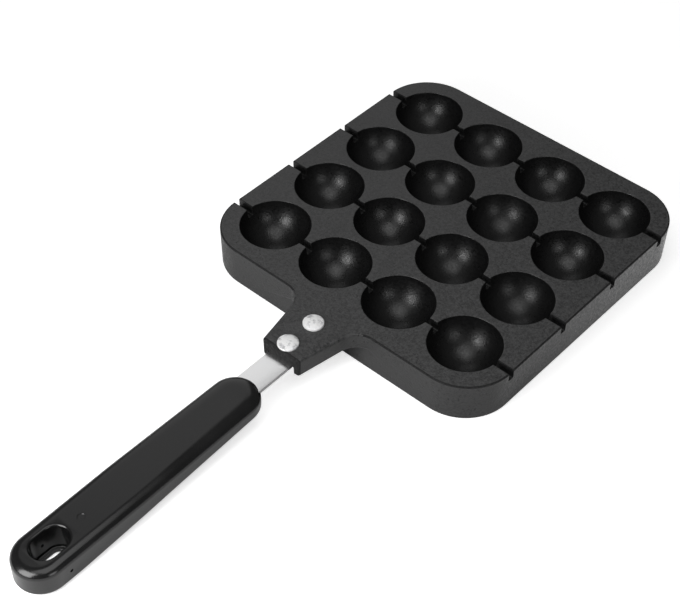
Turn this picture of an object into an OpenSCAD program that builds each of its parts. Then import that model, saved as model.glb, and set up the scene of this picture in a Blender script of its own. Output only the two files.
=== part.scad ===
// Takoyaki pan: a square cast plate with rows of round cups, stick grooves along the rows,
// a riveted strip and a moulded grip with a hanging slot.
// The plate stands on z = 0 with its middle over the origin. The cup rows and the grooves run
// along X, and the handle points to -Y. All sizes are in millimetres.

/* [Cups] */
// Cups along each side of the plate
cups_per_side = 4; // [2:1:5]
// Distance between the centres of neighbouring cups
cup_pitch = 44; // [42:0.5:60]
// Diameter of a cup's mouth
cup_mouth_d = 40; // [32:0.5:42]
// Depth of a cup below the plate's top
cup_depth = 19.5; // [14:0.5:24]
// Metal under and around a cup
cup_wall = 3; // [2:0.1:5]
// Height of the cups' undersides above the table
cup_standoff = 1.5; // [0.5:0.1:6]
// Chamfer round a cup's mouth
cup_chamfer = 0.4; // [0.2:0.1:1]

/* [Plate] */
// Distance from the centre of an outer cup to the plate's edge
edge_margin = 29.7; // [27:0.1:40]
// Corner radius of the plate in plan
corner_r = 28.3; // [12:0.1:36]
// Thickness of the deck between the cups
deck_t = 3.5; // [2:0.1:6]
// Thickness of the skirt round the plate
skirt_t = 4; // [3:0.1:6]
// How far the skirt leans in from its top to its foot
skirt_lean = 0.5; // [0.2:0.1:1.5]
// Rounding along the plate's top edge and the skirt's foot
plate_edge_r = 0.8; // [0.3:0.1:1.5]

/* [Stick grooves] */
// Width of a groove
groove_w = 4; // [2:0.1:6]
// Depth of a groove below the plate's top
groove_depth = 5.5; // [3:0.1:9]
// Metal beside and under a groove
groove_wall = 2.5; // [1.5:0.1:4]

/* [Neck] */
// Reach of the neck beyond the plate's edge
neck_reach = 36.8; // [34:0.1:50]
// Gap between the strip and each flange at the neck's front end
strip_side_gap = 1.05; // [0.5:0.05:4]
// Width of the neck where it meets the plate
neck_root_w = 39.6; // [32:0.1:50]
// Thickness of the neck's web
web_t = 6.2; // [4:0.1:9]
// Thickness of the flange on each side of the neck
flange_t = 4; // [2.5:0.1:4.5]
// Depth of the flanges at the neck's front end
flange_depth_front = 12; // [10.5:0.1:16]
// Depth of the flanges at the plate
flange_depth_root = 10.5; // [9.5:0.1:16]
// Radius of the fillet between the neck and the plate, in plan
root_fillet_r = 11.5; // [6:0.1:14]

/* [Handle strip] */
// Width of the strip
strip_w = 15.5; // [12:0.1:19]
// Thickness of the strip
strip_t = 1.8; // [1.2:0.1:3]
// Angle by which the strip slopes down beyond the neck
strip_slope = 1.1; // [0:0.1:1.6]
// Gap between the plate's edge and the strip's end
strip_setback = 2.3; // [1:0.1:5]
// Length of the strip between the neck and the grip
strip_shown = 19.8; // [15:0.1:40]
// Length of the strip inside the grip
strip_buried = 96; // [60:1:110]
// Diameter of the two locking holes in the buried strip
lock_hole_d = 6; // [4:0.1:8]
// Distance between the locking holes
lock_hole_spacing = 50; // [30:1:60]

/* [Rivets] */
// Diameter of a rivet's shank
rivet_d = 5; // [4:0.1:6]
// Diameter of a rivet's head
rivet_head_d = 11.2; // [8:0.1:12]
// Height of a rivet's head from its seat to the top of its dome
rivet_head_h = 2.1; // [1.8:0.1:3]
// Height of the upright rim round a rivet's head
rivet_rim_h = 1.1; // [0.5:0.1:1.3]
// Diameter of a rivet's upset tail
rivet_tail_d = 8.4; // [7:0.1:10]
// Height of a rivet's upset tail
rivet_tail_h = 1.4; // [0.8:0.1:2.5]
// Distance from the neck's front end to the nearer rivet
rivet_inset = 6; // [5.6:0.1:8]
// Distance between the rivets
rivet_spacing = 19; // [14:0.1:20]

/* [Grip] */
// Length of the grip
grip_length = 153; // [140:0.5:190]
// Half width of the grip's front end
grip_front_half_w = 13.4; // [11:0.1:16]
// Half width of the grip at its fullest place
grip_mid_half_w = 14.3; // [12:0.1:18]
// Half width of the grip's rear end
grip_rear_half_w = 14; // [12.5:0.1:16]
// Distance from the grip's front end to its fullest place
grip_mid_at = 83; // [60:1:100]
// Thickness of the grip at its front end
grip_front_t = 10.2; // [9:0.1:13]
// Thickness of the grip at its fullest place
grip_mid_t = 12.8; // [10:0.1:15]
// Height of the grip's rear underside above the table
grip_table_gap = 0.55; // [0.2:0.05:3]
// Height of the grip's front top above the strip
grip_above_strip = 2; // [1.5:0.1:3]
// Rounding along the grip's top edge
grip_top_r = 4; // [2:0.1:4.5]
// Rounding along the grip's bottom edge
grip_bottom_r = 3; // [2:0.1:4.5]

/* [Hanging slot] */
// Width of the slot at its top
slot_w = 14.2; // [12:0.1:16]
// Length of the slot at its top
slot_length = 20.4; // [18:0.1:26]
// Distance from the slot to the grip's rear end
slot_end_wall = 9.8; // [6:0.1:14]
// Rounding of the slot's top rim
slot_rim_r = 1.2; // [0.5:0.1:2]
// How far the slot's walls lean in on their way down to the lip
slot_lean = 1.2; // [0.2:0.1:1.5]
// How far the lip at the slot's foot reaches in from the walls
slot_lip_w = 1.9; // [0.5:0.1:2.2]
// Height of the lip
slot_lip_h = 1.5; // [1:0.1:3]
// Diameter of the hole drilled across the slot
cross_hole_d = 1.8; // [1:0.1:3]
// Diameter of the round mould mark in front of the slot
mark_d = 4; // [2:0.1:5]
// Depth of the mould mark
mark_depth = 0.3; // [0.1:0.1:0.6]

/* [Fits] */
// Gap round a rivet's shank in its hole
rivet_fit = 0.05; // [0.02:0.01:0.15]
// Gap between the strip and the moulded grip
mould_fit = 0.05; // [0.02:0.01:0.15]

/* [Hidden] */
$fn = 96;
arc_steps = 6;      // straight steps in a small edge rounding
fillet_steps = 12;  // straight steps in the neck's root fillet
root_overlap = 1.2; // how far the neck's root reaches into the skirt
grip_facets = 64;   // facets round the grip's ends

// Plate
plate_h = cup_depth + cup_wall + cup_standoff;
plate_half = (cups_per_side - 1) / 2 * cup_pitch + edge_margin;
cup_mouth_r = cup_mouth_d / 2;
cup_ball_mouth_r = cup_mouth_r - cup_chamfer;
cup_r = (pow(cup_ball_mouth_r, 2) + pow(cup_depth, 2)) / (2 * cup_depth);
cup_z = plate_h - cup_depth + cup_r;
cup_places = [for (i = [0:cups_per_side - 1]) (i - (cups_per_side - 1) / 2) * cup_pitch];
cavity_h = plate_h - deck_t;
cavity_lean = -0.6;

// Neck
neck_front_w = strip_w + 2 * (strip_side_gap + flange_t);
neck_front_y = -plate_half - neck_reach;
edge_round = flange_t / 2;
front_corner = [neck_front_w / 2 - edge_round, neck_front_y + edge_round];
root_corner = [neck_root_w / 2 - edge_round, -plate_half];
flank = root_corner - front_corner;
flank_angle = atan2(flank[1], flank[0]);
flank_out = [sin(flank_angle), -cos(flank_angle)];
flange_top_z = plate_h - edge_round;
flange_low_front_z = plate_h - flange_depth_front + edge_round;
flange_low_root_z = plate_h - flange_depth_root + edge_round;
web_low_z = plate_h - web_t;
fillet_lean = 90 - flank_angle;
fillet_centre = [
    root_corner[0] + (root_fillet_r * (1 - sin(fillet_lean)) + edge_round) / cos(fillet_lean),
    -plate_half - root_fillet_r
];

// Rivets
rivet_places = [neck_front_y + rivet_inset, neck_front_y + rivet_inset + rivet_spacing];

// Handle strip: flat under the neck, then one straight slope into the grip
strip_start_y = -plate_half - strip_setback;
strip_low_z = web_low_z - strip_t;
grip_front_y = neck_front_y - strip_shown;
strip_run = strip_shown + strip_buried;
strip_end_y = neck_front_y - strip_run;
strip_drop = strip_run * tan(strip_slope);
lock_hole_first_y = grip_front_y - (strip_buried - lock_hole_spacing) / 2;
lock_hole_places = [lock_hole_first_y, lock_hole_first_y - lock_hole_spacing];

// Grip: three round stations joined by straight stretches
grip_rear_y = grip_front_y - grip_length;
grip_front_top = web_low_z - strip_shown * tan(strip_slope) + grip_above_strip;
grip_rear_top = grip_front_top - grip_length * tan(strip_slope);
front_station_y = grip_front_y - grip_front_half_w;
mid_station_y = grip_front_y - grip_mid_at;
rear_station_y = grip_rear_y + grip_rear_half_w;
grip_rear_t = grip_top(rear_station_y) - grip_table_gap;
slot_near_y = grip_rear_y + slot_end_wall + slot_w / 2;
slot_far_y = grip_rear_y + slot_end_wall + slot_length - slot_w / 2;
slot_mid_y = (slot_near_y + slot_far_y) / 2;
cross_hole_z = grip_rear_top - grip_rear_t / 2;
mark_y = slot_far_y + slot_w / 2 + 9;

// Points along an arc from angle a0 to angle a1
function arc(centre, r, a0, a1, steps) =
    [for (i = [0:steps]) centre + r * [cos(a0 + (a1 - a0) * i / steps), sin(a0 + (a1 - a0) * i / steps)]];

// Half section of a slab, from its middle out to its rounded edges
function slab_section(reach, h, lean, top_r, foot_r) = concat(
    [[0, 0]],
    foot_r > 0 ? arc([reach - lean - foot_r, foot_r], foot_r, -90, 0, arc_steps) : [[reach - lean, 0]],
    arc([reach - top_r, h - top_r], top_r, 0, 90, arc_steps),
    [[0, h]]
);

// Square slab with round corners, leaning sides and rounded edges
module slab(half, corner, h, lean, top_r, foot_r) {
    centre = half - corner;
    section = slab_section(corner, h, lean, top_r, foot_r);
    translate([-centre, -centre, 0]) cube([2 * centre, 2 * centre, h]);
    for (turn = [0:90:270]) rotate(turn) translate([centre, centre, 0]) {
        rotate_extrude(angle = 90) polygon(section);
        rotate([90, 0, 0]) linear_extrude(2 * centre) polygon(section);
    }
}

// Children at every cup
module at_cups() {
    for (x = cup_places, y = cup_places) translate([x, y, 0]) children();
}

// Bowl-shaped solid: the part of a ball of radius r that lies under the height top
module bowl(r, top) {
    rotate_extrude() intersection() {
        translate([0, cup_z]) circle(r);
        translate([0, cup_z - r]) square([r, top - cup_z + r]);
    }
}

module cup_hollow() {
    bowl(cup_r, plate_h + 1);
    translate([0, 0, plate_h - 2 * cup_chamfer]) cylinder(
        h = 3 * cup_chamfer,
        r1 = cup_mouth_r - 2 * cup_chamfer,
        r2 = cup_mouth_r + cup_chamfer
    );
}

// Bar along X at each cup row, from the height low up to the height high
module row_bars(w, half_length, low, high) {
    for (y = cup_places)
        translate([-half_length, y - w / 2, low]) cube([2 * half_length, w, high - low]);
}

// Upright post with rounded ends, for a corner of the neck
module post(place, low) {
    for (z = [low, flange_top_z]) translate([place[0], place[1], z]) sphere(edge_round, $fn = 32);
}

// Outer form of the neck: soft along its sides, crisper along its front top edge
module neck_block() {
    hull() for (side = [0, 1]) mirror([side, 0, 0]) {
        post(front_corner, flange_low_front_z);
        post(root_corner + [0, root_overlap], flange_low_root_z);
        translate([front_corner[0], neck_front_y + plate_edge_r, plate_h - plate_edge_r])
            sphere(plate_edge_r, $fn = 32);
    }
}

// Channel between the neck's flanges, open underneath
module neck_channel() {
    inner = edge_round * flank_out;
    front = front_corner - inner - [0, 2 * edge_round];
    root = root_corner - inner;
    translate([0, 0, -1]) linear_extrude(web_low_z + 1)
        polygon([front, root, [-root[0], root[1]], [-front[0], front[1]]]);
}

// Fillet between the neck's side and the plate
module root_fillet() {
    on_flank = fillet_centre - root_fillet_r * flank_out;
    start = atan2(-flank_out[1], -flank_out[0]);
    translate([0, 0, plate_h - flange_depth_root]) linear_extrude(flange_depth_root)
        polygon(concat(
            [root_corner + [0, root_overlap], on_flank - edge_round * flank_out],
            arc(fillet_centre, root_fillet_r, start, 90, fillet_steps),
            [[fillet_centre[0], -plate_half + root_overlap]]
        ));
}

module grill_plate() {
    color("#3c3c3e") difference() {
        union() {
            difference() {
                slab(plate_half, corner_r, plate_h, skirt_lean, plate_edge_r, plate_edge_r);
                translate([0, 0, -1])
                    slab(plate_half - skirt_t, corner_r - skirt_t, cavity_h + 1, cavity_lean, 1, 0);
            }
            at_cups() bowl(cup_r + cup_wall, plate_h - deck_t / 2);
            row_bars(groove_w + 2 * groove_wall, plate_half - skirt_t / 2,
                plate_h - groove_depth - groove_wall, plate_h - deck_t / 2);
            difference() {
                neck_block();
                neck_channel();
            }
            for (side = [0, 1]) mirror([side, 0, 0]) root_fillet();
        }
        at_cups() cup_hollow();
        row_bars(groove_w, plate_half + 1, plate_h - groove_depth, plate_h + 1);
        for (y = rivet_places)
            translate([0, y, web_low_z - 1]) cylinder(h = web_t + 2, r = rivet_d / 2 + rivet_fit);
    }
}

// The strip's solid, grown by a gap on every side
module strip_solid(gap) {
    side_view = [
        [strip_start_y + gap, web_low_z + gap],
        [neck_front_y, web_low_z + gap],
        [strip_end_y - gap, web_low_z - strip_drop + gap],
        [strip_end_y - gap, strip_low_z - strip_drop - gap],
        [neck_front_y, strip_low_z - gap],
        [strip_start_y + gap, strip_low_z - gap]
    ];
    translate([-strip_w / 2 - gap, 0, 0]) rotate([90, 0, 90])
        linear_extrude(strip_w + 2 * gap) polygon(side_view);
}

module handle_strip() {
    color("#d0d1d3") difference() {
        strip_solid(0);
        for (y = rivet_places)
            translate([0, y, strip_low_z - 1]) cylinder(h = strip_t + 2, r = rivet_d / 2 + rivet_fit);
        for (y = lock_hole_places)
            translate([0, y, strip_low_z - strip_drop - 1])
                cylinder(h = strip_t + strip_drop + 2, r = lock_hole_d / 2);
    }
}

// Rivet with a low domed head on the neck and an upset tail under the strip
module rivet(y) {
    dome_h = rivet_head_h - rivet_rim_h;
    dome_r = (pow(rivet_head_d / 2, 2) + pow(dome_h, 2)) / (2 * dome_h);
    translate([0, y, 0]) {
        translate([0, 0, strip_low_z - rivet_tail_h / 2])
            cylinder(h = web_t + strip_t + rivet_tail_h / 2 + rivet_head_h / 2, r = rivet_d / 2);
        translate([0, 0, strip_low_z - rivet_tail_h]) cylinder(h = rivet_tail_h, r = rivet_tail_d / 2);
        rotate_extrude() intersection() {
            translate([0, plate_h + rivet_head_h - dome_r]) circle(dome_r);
            translate([0, plate_h]) square([rivet_head_d / 2, rivet_head_h + 1]);
        }
    }
}

module front_rivet() { color("#e4e4e6") rivet(rivet_places[0]); }

module rear_rivet() { color("#e4e4e6") rivet(rivet_places[1]); }

// Round station of the grip, with rounded top and bottom edges
module grip_station(y, half_w, top, t) {
    section = concat(
        [[0, top - t]],
        arc([half_w - grip_bottom_r, top - t + grip_bottom_r], grip_bottom_r, -90, 0, arc_steps),
        arc([half_w - grip_top_r, top - grip_top_r], grip_top_r, 0, 90, arc_steps),
        [[0, top]]
    );
    translate([0, y, 0]) rotate_extrude($fn = grip_facets) polygon(section);
}

// Top of the grip at a place along it
function grip_top(y) = grip_front_top + (y - grip_front_y) * tan(strip_slope);

// Underside of the grip at a place along its rear stretch
function grip_low(y) = grip_top(y) - grip_mid_t
    - (grip_rear_t - grip_mid_t) * (mid_station_y - y) / (mid_station_y - rear_station_y);

module front_station() {
    grip_station(front_station_y, grip_front_half_w, grip_top(front_station_y), grip_front_t);
}

module mid_station() {
    grip_station(mid_station_y, grip_mid_half_w, grip_top(mid_station_y), grip_mid_t);
}

module rear_station() {
    grip_station(rear_station_y, grip_rear_half_w, grip_top(rear_station_y), grip_rear_t);
}

// Through slot with a rounded rim and a lip at its foot, drawn about the middle of its top
module slot_cut() {
    reach = (slot_far_y - slot_near_y) / 2;
    wall = slot_w / 2;
    lip_top = slot_lip_h - grip_top(slot_mid_y) + grip_low(slot_mid_y);
    opening = wall - slot_lean - slot_lip_w;
    section = concat(
        [[0, -grip_rear_t - 4], [opening, -grip_rear_t - 4], [opening, lip_top]],
        [[wall - slot_lean, lip_top]],
        arc([wall + slot_rim_r, -slot_rim_r], slot_rim_r, 180, 90, arc_steps),
        [[wall + slot_rim_r, 1], [0, 1]]
    );
    for (turn = [0, 180]) rotate(turn) translate([0, reach, 0]) {
        rotate_extrude(angle = 180) polygon(section);
        rotate([90, 0, 0]) linear_extrude(2 * reach) polygon(section);
    }
}

module grip() {
    color("#222223") {
        difference() {
            union() {
                hull() { front_station(); mid_station(); }
                hull() { mid_station(); rear_station(); }
            }
            strip_solid(mould_fit);
            translate([0, slot_mid_y, grip_top(slot_mid_y)]) rotate([strip_slope, 0, 0]) slot_cut();
            translate([-grip_mid_half_w, slot_mid_y, cross_hole_z]) rotate([0, 90, 0])
                cylinder(h = 2 * grip_mid_half_w, r = cross_hole_d / 2);
            translate([0, mark_y, grip_top(mark_y) - mark_depth]) cylinder(h = 2, r = mark_d / 2);
        }
        for (y = lock_hole_places) translate([0, y, strip_low_z - strip_drop - 1])
            cylinder(h = strip_t + strip_drop + 1, r = lock_hole_d / 2 - mould_fit);
    }
}

grill_plate();
handle_strip();
rear_rivet();
front_rivet();
grip();
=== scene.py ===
"""Looks of a takoyaki pan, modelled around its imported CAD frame.

The pan is a square cast plate with sixteen round cups, a riveted strip and a moulded grip. Sizes in
the classes are in millimetres and become metres when a mesh is made.
"""

import logging
import math
from collections.abc import Callable, Sequence
from dataclasses import dataclass, field
from enum import Enum

import bmesh
import bpy
from mathutils import Matrix, Vector


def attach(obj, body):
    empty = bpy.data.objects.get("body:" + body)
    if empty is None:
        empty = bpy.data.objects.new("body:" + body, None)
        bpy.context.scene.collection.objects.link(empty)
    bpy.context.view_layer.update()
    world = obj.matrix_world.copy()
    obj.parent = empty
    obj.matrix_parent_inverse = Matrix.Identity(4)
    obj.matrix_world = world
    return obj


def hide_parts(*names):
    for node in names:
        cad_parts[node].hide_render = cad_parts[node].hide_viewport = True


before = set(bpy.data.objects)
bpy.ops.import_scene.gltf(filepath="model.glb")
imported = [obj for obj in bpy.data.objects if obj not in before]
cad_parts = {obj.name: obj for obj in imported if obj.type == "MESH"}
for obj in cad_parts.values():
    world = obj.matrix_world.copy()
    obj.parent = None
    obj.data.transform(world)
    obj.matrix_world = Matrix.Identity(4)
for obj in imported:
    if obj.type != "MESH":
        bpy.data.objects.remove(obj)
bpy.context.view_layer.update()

LOG = logging.getLogger("takoyaki_pan")
MM = 0.001
BODY = "root"
SHARP_ANGLE = math.radians(27)
FLAT_NORMAL = 0.99995
TOOL_R = 0.4  # rounding of a cutting tool's foot, which lies clear of the work

Point = tuple[float, float, float]
Plan = tuple[Vector, Vector]  # a point of an outline and the outward normal there
Profile = list[tuple[float, float]]
Colour = tuple[float, float, float]


class Cut(Enum):
    """What a boolean does with its second mesh."""

    ADD = "UNION"
    REMOVE = "DIFFERENCE"


class Zone(Enum):
    """Kinds of surface on the casting, as the numbers its attribute holds."""

    DECK = 0.0
    WALL = 0.4
    GROOVE = 0.8
    CUP = 1.0


@dataclass(frozen=True)
class Layout:
    """Sizes that more than one piece is built on, in millimetres."""

    plate_half: float = 95.7
    plate_height: float = 24.0
    neck_front_y: float = -132.5
    web_low: float = 17.8
    strip_half: float = 7.75
    strip_t: float = 1.8
    strip_end_y: float = -248.3
    slope: float = math.tan(math.radians(1.1))
    shank_r: float = 2.5
    rivet_first_y: float = -126.5
    rivet_pitch: float = 19.0
    lock_r: float = 3.0
    lock_places: tuple[float, ...] = (-175.3, -225.3)
    fit: float = 0.05


PAN = Layout()


# ---------------------------------------------------------------- mesh tools


def arc(x: float, y: float, radius: float, start: float, end: float, steps: int) -> Profile:
    """Points along an arc.

    Args:
        x: Centre, first coordinate.
        y: Centre, second coordinate.
        radius: Radius of the arc.
        start: First angle in degrees.
        end: Last angle in degrees.
        steps: Number of straight steps.

    Returns:
        The points, ends included.
    """
    angles = [math.radians(start + (end - start) * i / steps) for i in range(steps + 1)]
    return [(x + radius * math.cos(a), y + radius * math.sin(a)) for a in angles]


def make_object(name: str, points: Sequence[Point], faces: Sequence[Sequence[int]]) -> bpy.types.Object:
    """Makes a closed mesh object from points in millimetres, with its faces outwards.

    Args:
        name: Name of the object.
        points: Corner points in millimetres.
        faces: Corner numbers of each face.

    Returns:
        The new object, at the origin.
    """
    mesh = bpy.data.meshes.new(name)
    mesh.from_pydata([Vector(p) * MM for p in points], [], faces)
    edit = bmesh.new()
    edit.from_mesh(mesh)
    bmesh.ops.remove_doubles(edit, verts=edit.verts, dist=1e-7)
    bmesh.ops.recalc_face_normals(edit, faces=edit.faces)
    edit.to_mesh(mesh)
    edit.free()
    obj = bpy.data.objects.new(name, mesh)
    bpy.context.scene.collection.objects.link(obj)
    return obj


def skin(name: str, rings: Sequence[Sequence[Point]]) -> bpy.types.Object:
    """Closes a stack of rings with equal counts into a solid.

    Each ring holds one half and then its mirror image backwards, so that an end is closed by strips
    from side to side.

    Args:
        name: Name of the object.
        rings: Rings of points, from one end to the other.

    Returns:
        The new object.
    """
    count = len(rings[0])
    points = [p for ring in rings for p in ring]
    faces: list[list[int]] = []
    for first in (0, len(points) - count):
        last = first + count - 1
        faces += [[first + i, first + i + 1, last - i - 1, last - i] for i in range(count // 2 - 1)]
    for k in range(len(rings) - 1):
        low, high = k * count, (k + 1) * count
        for i in range(count):
            j = (i + 1) % count
            faces.append([low + i, low + j, high + j, high + i])
    return make_object(name, points, faces)


def revolve(name: str, profile: Profile, segments: int) -> bpy.types.Object:
    """Turns a profile about the Z axis into a closed solid.

    Args:
        name: Name of the object.
        profile: Radius and height of each point; the first and last lie on the axis.
        segments: Number of segments round the axis.

    Returns:
        The new object.
    """
    points: list[Point] = [(0, 0, profile[0][1])]
    for radius, height in profile[1:-1]:
        for i in range(segments):
            a = 2 * math.pi * i / segments
            points.append((radius * math.cos(a), radius * math.sin(a), height))
    points.append((0, 0, profile[-1][1]))
    faces: list[list[int]] = []
    rows = len(profile) - 2
    last = len(points) - 1
    for i in range(segments):
        j = (i + 1) % segments
        faces.append([0, 1 + i, 1 + j])
        for k in range(rows - 1):
            low, high = 1 + k * segments, 1 + (k + 1) * segments
            faces.append([low + i, low + j, high + j, high + i])
        top = 1 + (rows - 1) * segments
        faces.append([last, top + i, top + j])
    return make_object(name, points, faces)


def mirrored(right: Sequence[Plan]) -> list[Plan]:
    """An outline's right half, followed by its mirror image backwards."""
    return [*right, *[(Vector((-p.x, p.y)), Vector((-n.x, n.y))) for p, n in reversed(right)]]


def plan_arc(x: float, y: float, radius: float, start: float, end: float, steps: int) -> list[Plan]:
    """Part of an outline along a convex arc.

    Args:
        x: Centre, first coordinate.
        y: Centre, second coordinate.
        radius: Radius of the arc.
        start: First angle in degrees.
        end: Last angle in degrees.
        steps: Number of straight steps.

    Returns:
        Points with their outward normals, ends included.
    """
    ways = [Vector(w) for w in arc(0, 0, 1, start, end, steps)]
    return [(Vector((x, y)) + way * radius, way) for way in ways]


def rounded_square(half: float, radius: float, steps: int) -> list[Plan]:
    """Outline of a square with round corners.

    Args:
        half: Half the side.
        radius: Corner radius.
        steps: Straight steps in each corner.

    Returns:
        Points with their outward normals, counterclockwise.
    """
    side_parts = 17
    middle = half - radius
    low = plan_arc(middle, -middle, radius, -90, 0, steps)
    side = [(Vector((half, middle * (2 * k / side_parts - 1))), Vector((1, 0))) for k in range(1, side_parts)]
    return mirrored(low + side + plan_arc(middle, middle, radius, 0, 90, steps))


def wall_profile(low: float, high: float, low_r: float, high_r: float,
                 low_in: float = 0.0, high_in: float = 0.0, steps: int = 6) -> Profile:
    """Profile of an upright wall with rounded edges, as insets and heights.

    Args:
        low: Height of the foot.
        high: Height of the top.
        low_r: Rounding of the foot.
        high_r: Rounding of the top.
        low_in: Inset of the wall at its foot.
        high_in: Inset of the wall at its top.
        steps: Straight steps in each rounding.

    Returns:
        Inset and height of each point, from the foot to the top.
    """
    guard = 0.1
    span = high - low - low_r - high_r
    foot = [(low_in + low_r - x, low + low_r + y) for x, y in arc(0, 0, low_r, -90, 0, steps)]
    top = [(high_in + high_r - x, high - high_r + y) for x, y in arc(0, 0, high_r, 0, 90, steps)]
    slope = (high_in - low_in) / span
    near_foot = (low_in + slope * guard, low + low_r + guard)
    near_top = (high_in - slope * guard, high - high_r - guard)
    inner_foot = (low_in + low_r + guard, low)
    inner_top = (high_in + high_r + guard, high)
    return [inner_foot, *foot, near_foot, near_top, *top, inner_top]


def wall_solid(name: str, plan: Sequence[Plan], profiles: Sequence[Profile]) -> bpy.types.Object:
    """Raises a wall of given profile from every point of an outline.

    Args:
        name: Name of the object.
        plan: Outline with its outward normals.
        profiles: One profile for each point of the outline, all of one length.

    Returns:
        The new solid, closed at its foot and its top.
    """
    rings = []
    for k in range(len(profiles[0])):
        ring = []
        for (place, normal), profile in zip(plan, profiles):
            inset, height = profile[k]
            spot = place - normal * inset
            ring.append((spot.x, spot.y, height))
        rings.append(ring)
    return skin(name, rings)


def bar_along_x(name: str, section: Profile, half_length: float) -> bpy.types.Object:
    """Makes a bar along X with a given section in Y and Z."""
    return skin(name, [[(x, y, z) for y, z in section] for x in (-half_length, half_length)])


def combine(target: bpy.types.Object, tool: bpy.types.Object, cut: Cut) -> None:
    """Adds a tool's solid to a target or removes it, and deletes the tool.

    Args:
        target: Object that is changed.
        tool: Object that is used up.
        cut: What is done with the tool.
    """
    modifier = target.modifiers.new("combine", "BOOLEAN")
    modifier.operation = cut.value
    modifier.solver = "MANIFOLD"
    modifier.object = tool
    bake(target)
    discard(tool)


def bake(obj: bpy.types.Object) -> None:
    """Turns an object's evaluated mesh into its plain mesh and removes its modifiers.

    Args:
        obj: The object.
    """
    depsgraph = bpy.context.evaluated_depsgraph_get()
    mesh = bpy.data.meshes.new_from_object(obj.evaluated_get(depsgraph), depsgraph=depsgraph)
    obj.modifiers.clear()
    old = obj.data
    obj.data = mesh
    mesh.name = obj.name
    bpy.data.meshes.remove(old)


def discard(obj: bpy.types.Object) -> None:
    """Deletes an object and its mesh.

    Args:
        obj: The object.
    """
    mesh = obj.data
    bpy.data.objects.remove(obj)
    bpy.data.meshes.remove(mesh)


def drill_down(target: bpy.types.Object, radius: float, y: float, segments: int = 48) -> None:
    """Drills an upright round hole through everything from the strip up.

    Args:
        target: Object that is drilled.
        radius: Radius of the hole.
        y: Place of the hole on the middle line.
        segments: Number of segments round the hole.
    """
    low, high = 5, 30
    hole = revolve("hole", [(0, low), (radius, low), (radius, high), (0, high)], segments)
    hole.data.transform(Matrix.Translation((0, y * MM, 0)))
    combine(target, hole, Cut.REMOVE)


def settle_shading(obj: bpy.types.Object) -> None:
    """Splits a finished mesh's large faces, keeps its real edges crisp and its curves smooth.

    Args:
        obj: The finished object.
    """
    edit = bmesh.new()
    edit.from_mesh(obj.data)
    bmesh.ops.triangulate(edit, faces=[face for face in edit.faces if len(face.verts) > 4])
    for face in edit.faces:
        face.smooth = abs(face.normal.z) < FLAT_NORMAL
    for edge in edit.edges:
        edge.smooth = len(edge.link_faces) == 2 and edge.calc_face_angle(0.0) < SHARP_ANGLE
    edit.to_mesh(obj.data)
    edit.free()


def finish_piece(obj: bpy.types.Object, finish: "Finish", slot: str, nodes: Sequence[str]) -> None:
    """Dresses a finished piece and hands it to the frame.

    Args:
        obj: The piece.
        finish: Its surface finish.
        slot: Material slot of the record.
        nodes: CAD nodes that the piece stands for.
    """
    obj.data.materials.clear()
    obj.data.materials.append(finish.material())
    obj.data.polygons.foreach_set("material_index", [0] * len(obj.data.polygons))
    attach(obj, BODY)
    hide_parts(*nodes)
    LOG.info("%s: %d faces, slot %s, for %s", obj.name, len(obj.data.polygons), slot, ", ".join(nodes))


# ---------------------------------------------------------------- node tools


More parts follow.
